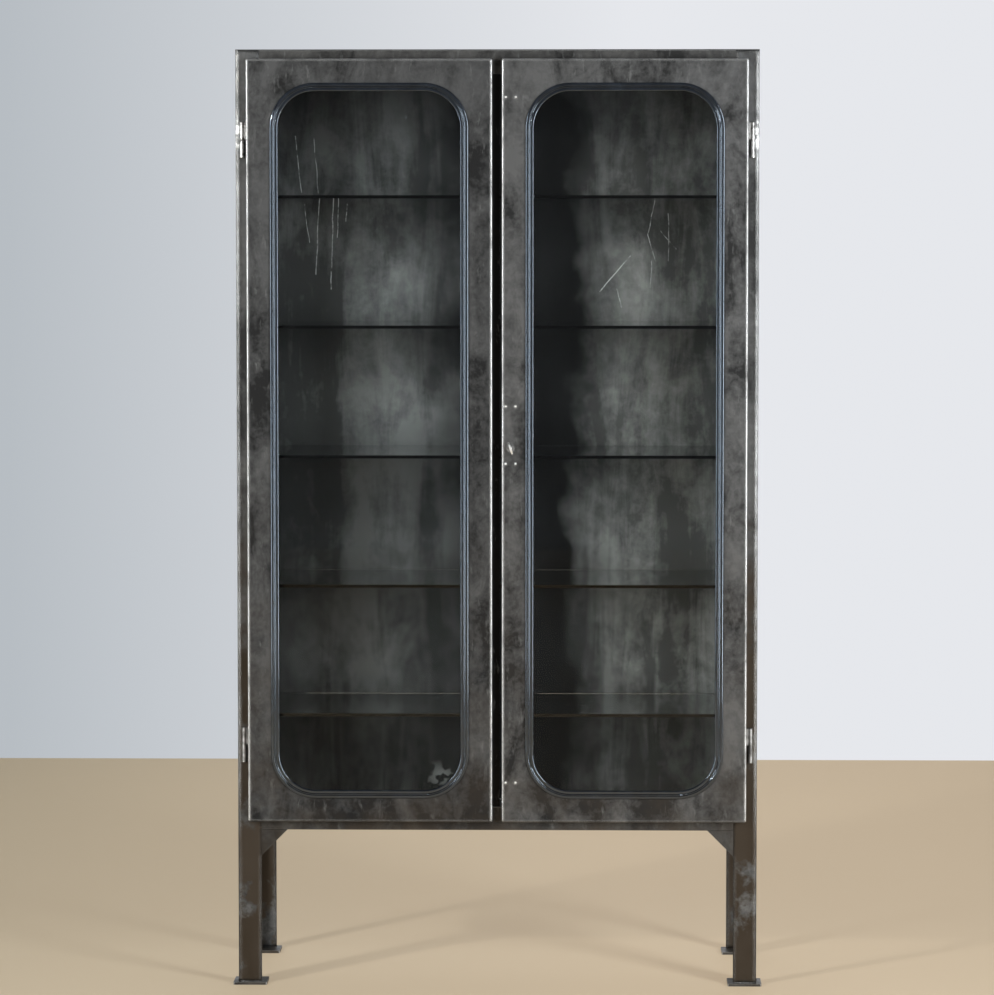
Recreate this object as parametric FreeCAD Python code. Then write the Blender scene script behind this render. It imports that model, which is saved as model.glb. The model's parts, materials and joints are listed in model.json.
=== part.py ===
import FreeCAD
import Part
import math
import os

# Whole cabinet, in millimetres
WIDTH = 1000.0  # over the corner posts
DEPTH = 400.0  # over the corner posts, without the doors
HEIGHT = 1800.0  # floor to the top sheet
LEG_HEIGHT = 301.0  # floor to the underside of the bottom rails

# Rolled steel angle of the posts and rails
ANGLE_LEG = 45.0
ANGLE_WALL = 4.0
ANGLE_ROOT = 4.0  # fillet in the inner corner
ANGLE_TOE = 2.0  # rounding at the end of each flange
ANGLE_HEEL = 1.5  # rounding of the outer corner

# Sheets that close the body
SHEET = 1.5

# Foot plates and gussets
FOOT_SIDE = 65.0
FOOT_THICK = 5.0
FOOT_CORNER = 3.0
GUSSET_LEG = 50.0

# Glass shelves and the ledges that carry them
SHELF_COUNT = 5
SHELF_FIRST_SHARE = 0.1423  # of the inside height, up to the underside of the lowest shelf
SHELF_PITCH_SHARE = 0.1678  # of the inside height, from one shelf to the next
SHELF_THICK = 6.0
SHELF_SETBACK = 35.0  # behind the front of the posts
SHELF_PLAY = 3.0  # to the side and back sheets
SHELF_CORNER = 5.0
LEDGE_LEG = 15.0
LEDGE_WALL = 2.0
LEDGE_ROOT = 2.0
LEDGE_TOE = 0.8

# Doors: folded pans that lie over the frame
DOOR_SIDE_MARGIN = 21.0  # outer edge of the post to the door
DOOR_END_MARGIN = 18.0  # outer edge of the rail to the door
MEETING_GAP = 18.0  # between the two doors
DOOR_DEPTH = 20.0
DOOR_SHEET = 1.5
DOOR_BEND = 3.0  # outer radius of the folds
DOOR_CORNER = 4.0  # outer radius of the welded corners
DOOR_CLEAR = 1.0  # between the pan and the frame

# Window in each door
WINDOW_SIDE_MARGIN = 50.0  # door edge to the cut edge of the sheet
WINDOW_END_MARGIN = 51.0
WINDOW_CORNER = 81.0
PANE_THICK = 4.0

# Rubber gasket and its filler strip
GASKET_LIP = 5.0  # cover over the sheet and over the pane
GASKET_WEB = 6.0  # between the edge of the sheet and the edge of the pane
GASKET_CROWN = 4.0  # front of the sheet to the front of the gasket
GASKET_TAIL = 4.0  # back of the sheet to the back of the gasket
GASKET_CREST = 2.6  # rounding of the outer front bead
GASKET_BROW = 2.0  # rounding of the inner front bead
GASKET_HEM = 1.5  # rounding of the back corners
GROOVE_WIDE = 3.4
GROOVE_DEEP = 3.0
GROOVE_EDGE = 0.9
FILLER_PLAY = 0.12
FILLER_SUNK = 0.3  # below the crest of the gasket
FILLER_CREST = 1.4
EDGE_PLAY = 0.3  # slot floor to the edge of sheet or pane

# Strip behind the gap between the doors, on the left door
STRIP_SHEET = 1.5
STRIP_BEND = 2.0
STRIP_REACH = 14.0  # past the edge of the door
STRIP_TAIL = 14.0  # inside the pan, along its wall
STRIP_CLEAR = 2.0  # to the rails above and below

# Barrel hinges
HINGE_INSET = 13.0  # outer edge of the post to the axis
HINGE_FROM_ENDS = (147.0, 155.0)  # bottom and top of the door to the joint between the knuckles
BARREL_RADIUS = 5.0
BARREL_CLEAR = 1.0  # barrel to the face of the post
BARREL_EDGE = 0.8
KNUCKLE_HIGH = 33.0
KNUCKLE_FLOOR = 4.0  # metal left at the closed end of the bore
KNUCKLE_CLEAR = 0.1
LEAF_THICK = 6.0
PIN_RADIUS = 3.0
PIN_FIT = 0.05
PIN_END = 0.3
PIN_EDGE = 0.5
WASHER_THICK = 1.0

# Lock: a pinion between two racks behind the meeting stile of the right door
LOCK_INSET = 17.0  # edge of the door to the key
KEY_HEIGHT = 1040.0  # floor to the key
PINION_TEETH = 12
PINION_RADIUS = 7.5  # pitch radius
PRESSURE_ANGLE = math.radians(25.0)
ADDENDUM_SHARE = 0.9  # of the module
DEDENDUM_SHARE = 1.2  # of the module
BACKLASH = 0.2
RACK_THICK = 6.0
RACK_BACK = 3.0  # metal behind the roots of the rack
RACK_FAR_TEETH = 5  # beyond the middle, on the side that comes into mesh
RACK_NEAR_TEETH = 2
RACK_END = 1.5  # plain end past the last tooth
SLIDE_CLEAR = 0.4
HUB_RADIUS = 4.5
HUB_FIT = 0.08
HUB_PROUD = 0.4  # past the face of the door
JOURNAL_RADIUS = 3.0
LOCK_PLATE = 1.5
COVER_WALL = 1.5
COVER_EDGE = 4.5  # rivet line to the end of the cover
PLATE_EDGE = 6.0  # rivet line to the end of the base plate

# Rods and their guides
ROD_RADIUS = 4.0
ROD_BEHIND = 1.0  # back of the rail flange to the rod
ROD_CLEAR = 3.0  # rail to the end of the drawn-in rod
ROD_TIP = 1.0
ARM_HIGH = 8.0  # arm from the rack to the rod
ARM_CLEAR = 17.0  # pinion to the upper arm
ARM_BELOW = 2.0  # cover to the lower arm
GUIDE_FROM_RAILS = (50.0, 44.5)  # bottom and top rail to the rod guides
GUIDE_HIGH = 12.0
GUIDE_SHEET = 2.0
GUIDE_BEND = 2.5
GUIDE_PLAY = 0.3
GUIDE_FOOT = 4.3  # rivet to the end of the foot

# Rivets
RIVET_SPACING = 19.0
LOCK_RIVETS_FROM_KEY = (30.0, 80.0)  # below and above the key
RIVET_RADIUS = 1.5
RIVET_FIT = 0.05
RIVET_HEAD = 2.2
RIVET_DOME = 1.0
RIVET_CLENCH = 0.8

# Key
KEY_LEAN = 20.0  # degrees that the bow leans to the left
BLADE_WIDE = 5.6
BLADE_THICK = 1.8
BLADE_LONG = 19.0
BLADE_PLAY = 0.1
STEM_RADIUS = 2.5
STEM_LONG = 10.0
STEM_CLEAR = 0.3
BOW_WIDE = 24.0
BOW_LONG = 19.0
BOW_THICK = 3.0
BOW_ROUND = 9.0
BOW_RIM = 5.0
BOW_HOLE_ROUND = 4.0
BOW_OVERLAP = 1.5  # of the stem into the bow

OVERRUN = 5.0  # every cut runs this far past the metal
NEAR = 0.001  # two places closer than this are one
QUARTER_TURN = 90.0
FULL_TURN = 360.0
AHEAD = FreeCAD.Vector(0, -1, 0)
RIGHTWARD = FreeCAD.Vector(1, 0, 0)
BACKWARD = FreeCAD.Vector(0, 1, 0)
UPWARD = FreeCAD.Vector(0, 0, 1)
ORIGIN = FreeCAD.Vector(0, 0, 0)

# Places that several pieces share
frame_front = -DEPTH / 2
frame_top = HEIGHT - SHEET
inside_x = WIDTH / 2 - ANGLE_WALL
inside_y = DEPTH / 2 - ANGLE_WALL
inside_floor = LEG_HEIGHT + ANGLE_WALL
inside_top = frame_top - ANGLE_WALL
opening_floor = LEG_HEIGHT + ANGLE_LEG
opening_top = frame_top - ANGLE_LEG
door_inner = MEETING_GAP / 2
door_outer = WIDTH / 2 - DOOR_SIDE_MARGIN
door_bottom = LEG_HEIGHT + DOOR_END_MARGIN
door_top = HEIGHT - DOOR_END_MARGIN
door_back = frame_front - DOOR_CLEAR
door_front = door_back - DOOR_DEPTH
door_skin = door_front + DOOR_SHEET
door_x = (door_inner + door_outer) / 2
door_z = (door_bottom + door_top) / 2
window_wide = door_outer - door_inner - 2 * WINDOW_SIDE_MARGIN
window_high = door_top - door_bottom - 2 * WINDOW_END_MARGIN
hinge_x = WIDTH / 2 - HINGE_INSET
hinge_y = frame_front - BARREL_CLEAR - BARREL_RADIUS
key_x = door_inner + LOCK_INSET
rod_y = frame_front + ANGLE_WALL + ROD_BEHIND + ROD_RADIUS
rack_front = rod_y - RACK_THICK / 2
rack_back = rod_y + RACK_THICK / 2
module = 2 * PINION_RADIUS / PINION_TEETH
addendum = ADDENDUM_SHARE * module
dedendum = DEDENDUM_SHARE * module
tooth_pitch = math.pi * module
rack_root = PINION_RADIUS + dedendum
rack_outer = rack_root + RACK_BACK
cover_half = rack_outer + SLIDE_CLEAR + COVER_WALL
hinge_splits = (door_bottom + HINGE_FROM_ENDS[0], door_top - HINGE_FROM_ENDS[1])
guide_heights = (opening_floor + GUIDE_FROM_RAILS[0], opening_top - GUIDE_FROM_RAILS[1])
lock_rivet_heights = (KEY_HEIGHT - LOCK_RIVETS_FROM_KEY[0], KEY_HEIGHT + LOCK_RIVETS_FROM_KEY[1])
cover_bottom = lock_rivet_heights[0] + COVER_EDGE
cover_top = lock_rivet_heights[1] - COVER_EDGE
cover_inner = max(rack_back, rod_y + ROD_RADIUS) + SLIDE_CLEAR
cover_back = cover_inner + COVER_WALL
plate_back = door_skin + LOCK_PLATE
hub_front = door_front - HUB_PROUD
key_front = hub_front - STEM_CLEAR - STEM_LONG - BOW_LONG + BOW_OVERLAP

# The origin is midway between the front of the key and the back of the rear feet
foot_overhang = (FOOT_SIDE - ANGLE_LEG) / 2
centring = FreeCAD.Vector(0, -(key_front + DEPTH / 2 + foot_overhang) / 2, 0)


def point(x, y, z):
    return FreeCAD.Vector(x, y, z)


def outline(corners, radii):
    """Closed wire through the corners, each rounded by its own radius."""
    count = len(corners)
    starts = []
    ends = []
    arcs = []
    for i in range(count):
        corner = corners[i]
        if radii[i] == 0:
            starts.append(corner)
            ends.append(corner)
            arcs.append(None)
            continue
        before = (corners[i - 1] - corner).normalize()
        after = (corners[(i + 1) % count] - corner).normalize()
        half = math.acos(before.dot(after)) / 2
        start = corner + before * (radii[i] / math.tan(half))
        end = corner + after * (radii[i] / math.tan(half))
        bisector = (before + after).normalize()
        middle = corner + bisector * (radii[i] / math.sin(half) - radii[i])
        starts.append(start)
        ends.append(end)
        arcs.append(Part.Arc(start, middle, end).toShape())
    edges = []
    for i in range(count):
        if arcs[i]:
            edges.append(arcs[i])
        following = starts[(i + 1) % count]
        if ends[i].distanceToPoint(following) > NEAR:
            edges.append(Part.makeLine(ends[i], following))
    return Part.Wire(edges)


def prism(corners, radii, run):
    return Part.Face(outline(corners, radii)).extrude(run)


def block(x0, x1, y0, y1, z0, z1):
    return Part.makeBox(x1 - x0, y1 - y0, z1 - z0, point(x0, y0, z0))


def rod_between(radius, start, end):
    run = end - start
    return Part.makeCylinder(radius, run.Length, start, run)


def rounded_plate(x0, x1, y0, y1, z0, z1, radius):
    """Level plate with its four upright corners rounded."""
    corners = [point(x0, y0, z0), point(x1, y0, z0), point(x1, y1, z0), point(x0, y1, z0)]
    return prism(corners, [radius] * 4, UPWARD * (z1 - z0))


def upright_plate(x0, x1, z0, z1, y0, y1, radius):
    """Upright plate with its four corners rounded, facing the front."""
    corners = [point(x0, y0, z0), point(x1, y0, z0), point(x1, y0, z1), point(x0, y0, z1)]
    return prism(corners, [radius] * 4, BACKWARD * (y1 - y0))


def turned(profile, radii, base, axis, across):
    """Solid of revolution: profile holds pairs of (radius, place along the axis)."""
    corners = [base + across * r + axis * a for r, a in profile]
    return Part.Face(outline(corners, radii)).revolve(base, axis, FULL_TURN)


def other_side(shape):
    return shape.mirror(ORIGIN, RIGHTWARD)


def other_end(shape):
    return shape.mirror(ORIGIN, BACKWARD)


def angle_bar(heel, first, second, run, leg, wall, root, toe, heel_round):
    """Bar of angle section: two flanges that leave the heel along two directions."""
    marks = [(0, 0), (leg, 0), (leg, wall), (wall, wall), (wall, leg), (0, leg)]
    corners = [heel + first * u + second * v for u, v in marks]
    return prism(corners, [heel_round, 0, toe, root, toe, 0], run)


def frame_angle(heel, first, second, run):
    return angle_bar(heel, first, second, run, ANGLE_LEG, ANGLE_WALL, ANGLE_ROOT, ANGLE_TOE, ANGLE_HEEL)


def front_right_post():
    heel = point(WIDTH / 2, frame_front, FOOT_THICK)
    return frame_angle(heel, -RIGHTWARD, BACKWARD, UPWARD * (frame_top - FOOT_THICK))


def front_rail(z, up):
    heel = point(-WIDTH / 2 + ANGLE_LEG, frame_front, z)
    return frame_angle(heel, BACKWARD, up, RIGHTWARD * (WIDTH - 2 * ANGLE_LEG))


def right_rail(z, up):
    heel = point(WIDTH / 2, frame_front + ANGLE_LEG, z)
    return frame_angle(heel, -RIGHTWARD, up, BACKWARD * (DEPTH - 2 * ANGLE_LEG))


def front_right_foot():
    x0 = WIDTH / 2 - ANGLE_LEG - foot_overhang
    y0 = frame_front - foot_overhang
    return rounded_plate(x0, x0 + FOOT_SIDE, y0, y0 + FOOT_SIDE, 0, FOOT_THICK, FOOT_CORNER)


def front_right_gusset():
    x = WIDTH / 2 - ANGLE_LEG
    corners = [
        point(x, frame_front, LEG_HEIGHT),
        point(x - GUSSET_LEG, frame_front, LEG_HEIGHT),
        point(x, frame_front, LEG_HEIGHT - GUSSET_LEG),
    ]
    return prism(corners, [0, 0, 0], BACKWARD * ANGLE_WALL)


def right_sheet():
    half_deep = inside_y - ANGLE_ROOT
    return block(
        inside_x - SHEET, inside_x, -half_deep, half_deep, inside_floor + ANGLE_ROOT, inside_top - ANGLE_ROOT
    )


def back_sheet():
    half_wide = inside_x - ANGLE_ROOT
    return block(
        -half_wide, half_wide, inside_y - SHEET, inside_y, inside_floor + ANGLE_ROOT, inside_top - ANGLE_ROOT
    )


def floor_sheet():
    half_wide = inside_x - ANGLE_ROOT
    half_deep = inside_y - ANGLE_ROOT
    return block(-half_wide, half_wide, -half_deep, half_deep, inside_floor, inside_floor + SHEET)


def top_sheet():
    half = WIDTH / 2
    return rounded_plate(-half, half, frame_front, DEPTH / 2, frame_top, HEIGHT, ANGLE_HEEL)


def shelf_underside(i):
    return inside_floor + (inside_top - inside_floor) * (SHELF_FIRST_SHARE + i * SHELF_PITCH_SHARE)


shelf_front = frame_front + SHELF_SETBACK
shelf_back = inside_y - SHEET - SHELF_PLAY
shelf_half = inside_x - SHEET - SHELF_PLAY


def glass_shelf(i):
    z = shelf_underside(i)
    return rounded_plate(-shelf_half, shelf_half, shelf_front, shelf_back, z, z + SHELF_THICK, SHELF_CORNER)


def right_ledge(i):
    heel = point(inside_x - SHEET, shelf_front, shelf_underside(i))
    run = BACKWARD * (shelf_back - shelf_front)
    return angle_bar(heel, -RIGHTWARD, -UPWARD, run, LEDGE_LEG, LEDGE_WALL, LEDGE_ROOT, LEDGE_TOE, 0)


def rounded_pan(inset, front, radius):
    """Block with the pan's outline, its front edges rounded over."""
    pan = upright_plate(
        door_inner + inset,
        door_outer - inset,
        door_bottom + inset,
        door_top - inset,
        front,
        door_back,
        DOOR_CORNER - inset,
    )
    rim = [e for e in pan.Edges if all(abs(v.Y - front) < NEAR for v in e.Vertexes)]
    return pan.makeFillet(radius, rim)


def window_block(inset, front, back):
    half_wide = window_wide / 2 - inset
    half_high = window_high / 2 - inset
    return upright_plate(
        door_x - half_wide,
        door_x + half_wide,
        door_z - half_high,
        door_z + half_high,
        front,
        back,
        WINDOW_CORNER - inset,
    )


def door_pan():
    outside = rounded_pan(0, door_front, DOOR_BEND)
    inside = rounded_pan(DOOR_SHEET, door_skin, DOOR_BEND - DOOR_SHEET)
    hollow = inside.fuse(inside.translated(BACKWARD * OVERRUN)).removeSplitter()
    return outside.cut([hollow, window_block(0, door_front - OVERRUN, door_skin + OVERRUN)])


pane_front = (door_front + door_skin) / 2 - PANE_THICK / 2
pane_back = pane_front + PANE_THICK
gasket_front = door_front - GASKET_CROWN
groove_floor = gasket_front + GROOVE_DEEP


def pane():
    return window_block(GASKET_WEB, pane_front, pane_back)


def window_ring(marks, radii):
    """Sweeps a section round the window; marks are (place out from the cut edge, depth)."""
    edge = door_x + window_wide / 2
    straight = window_high / 2 - WINDOW_CORNER
    section = Part.Face(outline([point(edge + n, y, door_z) for n, y in marks], radii))
    side = section.extrude(UPWARD * straight)
    raised = section.translated(UPWARD * straight)
    pivot = point(edge - WINDOW_CORNER, 0, door_z + straight)
    bend = raised.revolve(pivot, AHEAD, QUARTER_TURN)
    level = raised.rotated(pivot, AHEAD, QUARTER_TURN)
    head = level.extrude(-RIGHTWARD * (window_wide / 2 - WINDOW_CORNER))
    quarter = side.fuse([bend, head])
    centre = point(door_x, 0, door_z)
    half = quarter.fuse(quarter.mirror(centre, RIGHTWARD))
    return half.fuse(half.mirror(centre, UPWARD)).removeSplitter()


def gasket():
    back = door_skin + GASKET_TAIL
    tip = -GASKET_WEB - GASKET_LIP
    sheet_slot = -EDGE_PLAY
    pane_slot = -GASKET_WEB + EDGE_PLAY
    groove_out = (GROOVE_WIDE - GASKET_WEB) / 2
    groove_in = -(GROOVE_WIDE + GASKET_WEB) / 2
    marks = [
        (GASKET_LIP, door_front, 0),
        (GASKET_LIP, gasket_front, GASKET_CREST),
        (groove_out, gasket_front, GROOVE_EDGE),
        (groove_out, groove_floor, 0),
        (groove_in, groove_floor, 0),
        (groove_in, gasket_front, GROOVE_EDGE),
        (tip, gasket_front, GASKET_BROW),
        (tip, pane_front, 0),
        (pane_slot, pane_front, 0),
        (pane_slot, pane_back, 0),
        (tip, pane_back, 0),
        (tip, back, GASKET_HEM),
        (GASKET_LIP, back, GASKET_HEM),
        (GASKET_LIP, door_skin, 0),
        (sheet_slot, door_skin, 0),
        (sheet_slot, door_front, 0),
    ]
    return window_ring([(n, y) for n, y, r in marks], [r for n, y, r in marks])


def filler():
    half = GROOVE_WIDE / 2 - FILLER_PLAY
    middle = -GASKET_WEB / 2
    crest = gasket_front + FILLER_SUNK
    marks = [
        (middle - half, groove_floor),
        (middle + half, groove_floor),
        (middle + half, crest),
        (middle - half, crest),
    ]
    return window_ring(marks, [0, 0, FILLER_CREST, FILLER_CREST])


def meeting_strip():
    """Folded strip for a door on the right: along the pan's wall, then out past its edge."""
    wall = door_inner + DOOR_SHEET
    z = opening_floor + STRIP_CLEAR
    bend_back = door_back + STRIP_SHEET
    corners = [
        point(wall, bend_back - STRIP_TAIL, z),
        point(wall + STRIP_SHEET, bend_back - STRIP_TAIL, z),
        point(wall + STRIP_SHEET, bend_back, z),
        point(door_inner - STRIP_REACH, bend_back, z),
        point(door_inner - STRIP_REACH, door_back, z),
        point(wall, door_back, z),
    ]
    run = UPWARD * (opening_top - STRIP_CLEAR - z)
    return prism(corners, [0, 0, STRIP_BEND, 0, 0, 0], run)


def barrel(z):
    profile = [(0, 0), (BARREL_RADIUS, 0), (BARREL_RADIUS, KNUCKLE_HIGH), (0, KNUCKLE_HIGH)]
    return turned(profile, [0, BARREL_EDGE, BARREL_EDGE, 0], point(hinge_x, hinge_y, z), UPWARD, RIGHTWARD)


def frame_knuckle(split):
    """Knuckle on the post, bored from above."""
    base = split - KNUCKLE_HIGH
    half = LEAF_THICK / 2
    leaf = block(hinge_x - half, hinge_x + half, hinge_y, frame_front, base + BARREL_EDGE, split - BARREL_EDGE)
    start = point(hinge_x, hinge_y, base + KNUCKLE_FLOOR)
    bore = rod_between(PIN_RADIUS + PIN_FIT, start, point(hinge_x, hinge_y, split + OVERRUN))
    return barrel(base).fuse(leaf).removeSplitter().cut(bore)


def door_knuckle(split):
    """Knuckle on the door, bored from below."""
    base = split + WASHER_THICK + KNUCKLE_CLEAR
    top = base + KNUCKLE_HIGH
    half = LEAF_THICK / 2
    leaf = block(door_outer, hinge_x, hinge_y - half, hinge_y + half, base + BARREL_EDGE, top - BARREL_EDGE)
    end = point(hinge_x, hinge_y, top - KNUCKLE_FLOOR)
    bore = rod_between(PIN_RADIUS + PIN_FIT, point(hinge_x, hinge_y, base - OVERRUN), end)
    return barrel(base).fuse(leaf).removeSplitter().cut(bore)


def hinge_pin(split):
    base = split - KNUCKLE_HIGH + KNUCKLE_FLOOR
    reach = 2 * (KNUCKLE_HIGH - KNUCKLE_FLOOR) + WASHER_THICK + KNUCKLE_CLEAR - PIN_END
    profile = [(0, 0), (PIN_RADIUS, 0), (PIN_RADIUS, reach), (0, reach)]
    return turned(profile, [0, PIN_EDGE, PIN_EDGE, 0], point(hinge_x, hinge_y, base), UPWARD, RIGHTWARD)


def hinge_washer(split):
    start = point(hinge_x, hinge_y, split)
    disc = rod_between(BARREL_RADIUS, start, start + UPWARD * WASHER_THICK)
    low = start - UPWARD * OVERRUN
    return disc.cut(rod_between(PIN_RADIUS + PIN_FIT, low, start + UPWARD * OVERRUN))


rivet_columns = (key_x - RIVET_SPACING / 2, key_x + RIVET_SPACING / 2)
lock_rivets = [(x, z) for x in rivet_columns for z in lock_rivet_heights]
guide_rivets = [(x, z) for x in rivet_columns for z in guide_heights]


def bore_through(radius, x, z):
    """Cutter along the key's direction, through the door and everything behind it."""
    return rod_between(radius, point(x, door_front - OVERRUN, z), point(x, cover_back + OVERRUN, z))


def rivet_holes(places):
    return [bore_through(RIVET_RADIUS + RIVET_FIT, x, z) for x, z in places]


def hub_hole():
    return bore_through(HUB_RADIUS + HUB_FIT, key_x, KEY_HEIGHT)


def rivet(x, z, backing):
    """Domed head on the door's face, clenched behind the backing."""
    grip = DOOR_SHEET + backing
    profile = [
        (0, -RIVET_DOME),
        (RIVET_HEAD, -RIVET_DOME),
        (RIVET_HEAD, 0),
        (RIVET_RADIUS, 0),
        (RIVET_RADIUS, grip),
        (RIVET_HEAD, grip),
        (RIVET_HEAD, grip + RIVET_CLENCH),
        (0, grip + RIVET_CLENCH),
    ]
    radii = [0, RIVET_DOME, 0, 0, 0, 0, 0, 0]
    return turned(profile, radii, point(x, door_front, z), BACKWARD, RIGHTWARD)


def lock_plate():
    """Base plate against the inside of the door, with the keyhole and the rivet holes."""
    low = lock_rivet_heights[0] - PLATE_EDGE
    high = lock_rivet_heights[1] + PLATE_EDGE
    plate = block(key_x - cover_half, key_x + cover_half, door_skin, plate_back, low, high)
    return plate.cut(rivet_holes(lock_rivets) + [hub_hole()])


def lock_cover():
    """Open box over the pinion and racks, with ways out for the two rods."""
    outside = block(key_x - cover_half, key_x + cover_half, plate_back, cover_back, cover_bottom, cover_top)
    half = cover_half - COVER_WALL
    inside = block(
        key_x - half,
        key_x + half,
        plate_back - OVERRUN,
        cover_inner,
        cover_bottom + COVER_WALL,
        cover_top - COVER_WALL,
    )
    journal = rod_between(
        JOURNAL_RADIUS + HUB_FIT,
        point(key_x, cover_inner - OVERRUN, KEY_HEIGHT),
        point(key_x, cover_back + OVERRUN, KEY_HEIGHT),
    )
    upper_way = rod_between(
        ROD_RADIUS + SLIDE_CLEAR,
        point(key_x, rod_y, cover_top - COVER_WALL - OVERRUN),
        point(key_x, rod_y, cover_top + OVERRUN),
    )
    lower_way = block(
        key_x + rack_root - SLIDE_CLEAR,
        key_x + rack_outer + SLIDE_CLEAR,
        rack_front - SLIDE_CLEAR,
        cover_inner,
        cover_bottom - OVERRUN,
        cover_bottom + COVER_WALL + OVERRUN,
    )
    return outside.cut([inside, journal, upper_way, lower_way])


def involute(angle):
    return math.tan(angle) - angle


def tooth_half_angle(radius, base_radius):
    """Half the angle that a pinion tooth takes up at a radius."""
    at_pitch = (tooth_pitch / 2 - BACKLASH / 2) / (2 * PINION_RADIUS)
    return at_pitch + involute(PRESSURE_ANGLE) - involute(math.acos(base_radius / radius))


def pinion_outline():
    base_radius = PINION_RADIUS * math.cos(PRESSURE_ANGLE)
    root_radius = PINION_RADIUS - dedendum
    tip_radius = PINION_RADIUS + addendum
    flank_radii = [base_radius, (base_radius + tip_radius) / 2, tip_radius]
    step = 2 * math.pi / PINION_TEETH

    def at(radius, angle):
        return point(key_x + radius * math.cos(angle), rack_front, KEY_HEIGHT + radius * math.sin(angle))

    edges = []
    for i in range(PINION_TEETH):
        middle = (i + 1 / 2) * step
        halves = [tooth_half_angle(r, base_radius) for r in flank_radii]
        rising = [at(r, middle - h) for r, h in zip(flank_radii, halves)]
        falling = [at(r, middle + h) for r, h in zip(flank_radii, halves)]
        foot = at(root_radius, middle - halves[0])
        heel = at(root_radius, middle + halves[0])
        next_foot = at(root_radius, middle + step - halves[0])
        edges.append(Part.makeLine(foot, rising[0]))
        edges.append(Part.Arc(*rising).toShape())
        edges.append(Part.Arc(rising[2], at(tip_radius, middle), falling[2]).toShape())
        edges.append(Part.Arc(falling[2], falling[1], falling[0]).toShape())
        edges.append(Part.makeLine(falling[0], heel))
        edges.append(Part.Arc(heel, at(root_radius, middle + step / 2), next_foot).toShape())
    return Part.Wire(edges)


def leaned(shape):
    return shape.rotated(point(key_x, 0, KEY_HEIGHT), BACKWARD, -KEY_LEAN)


def lock_pinion():
    """Pinion, the hub that takes the key and the journal in the cover, in one piece."""
    gear = Part.Face(pinion_outline()).extrude(BACKWARD * RACK_THICK)
    front = point(key_x, hub_front, KEY_HEIGHT)
    hub = rod_between(HUB_RADIUS, front, point(key_x, rack_front, KEY_HEIGHT))
    journal = rod_between(
        JOURNAL_RADIUS, point(key_x, rack_back, KEY_HEIGHT), point(key_x, cover_back, KEY_HEIGHT)
    )
    half_wide = BLADE_WIDE / 2 + BLADE_PLAY
    half_thick = BLADE_THICK / 2 + BLADE_PLAY
    slot = block(
        key_x - half_thick,
        key_x + half_thick,
        hub_front - OVERRUN,
        hub_front + BLADE_LONG + BLADE_PLAY,
        KEY_HEIGHT - half_wide,
        KEY_HEIGHT + half_wide,
    )
    return gear.fuse([hub, journal]).cut(leaned(slot))


def key():
    stem_end = hub_front - STEM_CLEAR
    blade = block(
        key_x - BLADE_THICK / 2,
        key_x + BLADE_THICK / 2,
        stem_end,
        hub_front + BLADE_LONG,
        KEY_HEIGHT - BLADE_WIDE / 2,
        KEY_HEIGHT + BLADE_WIDE / 2,
    )
    stem = rod_between(
        STEM_RADIUS, point(key_x, stem_end - STEM_LONG, KEY_HEIGHT), point(key_x, stem_end, KEY_HEIGHT)
    )

    def bow_plate(inset, round_off, x0, x1):
        low = KEY_HEIGHT - BOW_WIDE / 2 + inset
        high = KEY_HEIGHT + BOW_WIDE / 2 - inset
        front = key_front + inset
        back = key_front + BOW_LONG - inset
        corners = [point(x0, front, low), point(x0, back, low), point(x0, back, high), point(x0, front, high)]
        return prism(corners, [round_off] * 4, RIGHTWARD * (x1 - x0))

    half = BOW_THICK / 2
    bow = bow_plate(0, BOW_ROUND, key_x - half, key_x + half)
    eye = bow_plate(BOW_RIM, BOW_HOLE_ROUND, key_x - half - OVERRUN, key_x + half + OVERRUN)
    return leaned(stem.fuse([blade, bow.cut(eye)]))


def rack_bar(side, teeth, low, high):
    """Rack beside the pinion, on the left for side -1 and on the right for side 1."""
    flank = math.tan(PRESSURE_ANGLE)
    half = (tooth_pitch / 2 - BACKLASH / 2) / 2
    root_half = half + dedendum * flank
    tip_half = half - addendum * flank
    root_x = key_x + side * rack_root
    tip_x = key_x + side * (PINION_RADIUS - addendum)
    outer_x = key_x + side * rack_outer
    corners = [point(outer_x, rack_front, low), point(root_x, rack_front, low)]
    for k in teeth:
        z = KEY_HEIGHT + k * tooth_pitch
        corners.append(point(root_x, rack_front, z - root_half))
        corners.append(point(tip_x, rack_front, z - tip_half))
        corners.append(point(tip_x, rack_front, z + tip_half))
        corners.append(point(root_x, rack_front, z + root_half))
    corners.append(point(root_x, rack_front, high))
    corners.append(point(outer_x, rack_front, high))
    return prism(corners, [0] * len(corners), BACKWARD * RACK_THICK)


rack_plain_end = (RACK_FAR_TEETH + 1 / 2) * tooth_pitch + RACK_END


def rod(start, end):
    """Round rod with its far end rounded over, from start towards end."""
    reach = abs(end - start)
    profile = [(0, 0), (ROD_RADIUS, 0), (ROD_RADIUS, reach), (0, reach)]
    way = UPWARD if end > start else -UPWARD
    return turned(profile, [0, 0, ROD_TIP, 0], point(key_x, rod_y, start), way, RIGHTWARD)


def upper_rod():
    """Rack on the left of the pinion, an arm to the middle, and the rod up to the top rail."""
    arm_low = KEY_HEIGHT + PINION_RADIUS + addendum + ARM_CLEAR
    arm_high = arm_low + ARM_HIGH
    teeth = range(-RACK_FAR_TEETH, RACK_NEAR_TEETH + 1)
    rack = rack_bar(-1, teeth, KEY_HEIGHT - rack_plain_end, arm_high)
    arm = block(key_x - rack_outer, key_x + ROD_RADIUS, rack_front, rack_back, arm_low, arm_high)
    return rack.fuse([arm, rod(arm_low, opening_top - ROD_CLEAR)]).removeSplitter()


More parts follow.
